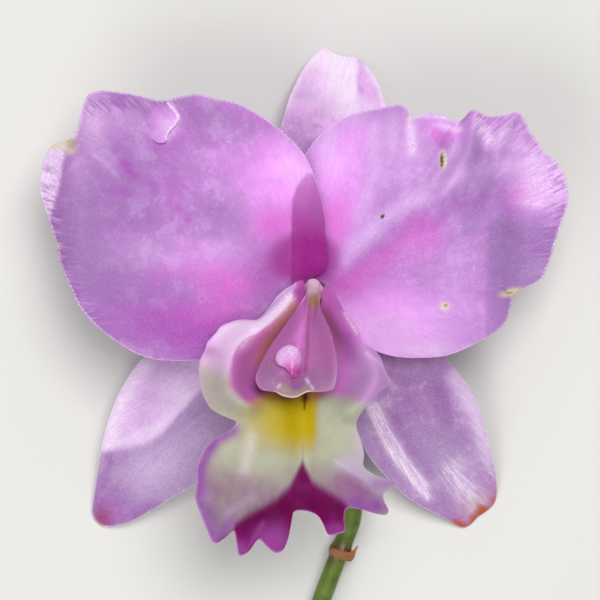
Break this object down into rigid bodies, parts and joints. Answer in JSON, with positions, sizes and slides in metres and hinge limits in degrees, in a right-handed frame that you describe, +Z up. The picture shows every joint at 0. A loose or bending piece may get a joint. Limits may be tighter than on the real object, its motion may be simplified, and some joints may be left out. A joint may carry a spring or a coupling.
{
  "type": "orchid bloom",
  "caption": "Cattleya orchid bloom on a short cut stem, lying face up: broad mauve petals, narrow sepals, toothed cream, yellow and magenta lip round a winged column",
  "frame": {"origin": "On the table, under the middle of the flower's box", "axes": "+Z is up, the way the bloom faces; +Y is the way the top sepal points, and the cut stem runs towards -Y; +X is the viewer's right"},
  "size_m": [0.112, 0.1282, 0.0469],
  "materials": {
    "stem_green": "satin",
    "sepal_mauve": "satin",
    "petal_mauve": "satin",
    "lip_cream": "satin",
    "column_pink": "satin",
    "cap_pink": "satin",
    "bract_brown": "matte"
  },
  "bodies": {
    "root": {"stem": "stem_green", "top_sepal": "sepal_mauve", "left_sepal": "sepal_mauve", "right_sepal": "sepal_mauve", "left_petal": "petal_mauve", "right_petal": "petal_mauve", "lip": "lip_cream", "column": "column_pink", "anther_cap": "cap_pink", "bract": "bract_brown"}
  },
  "joints": []
}
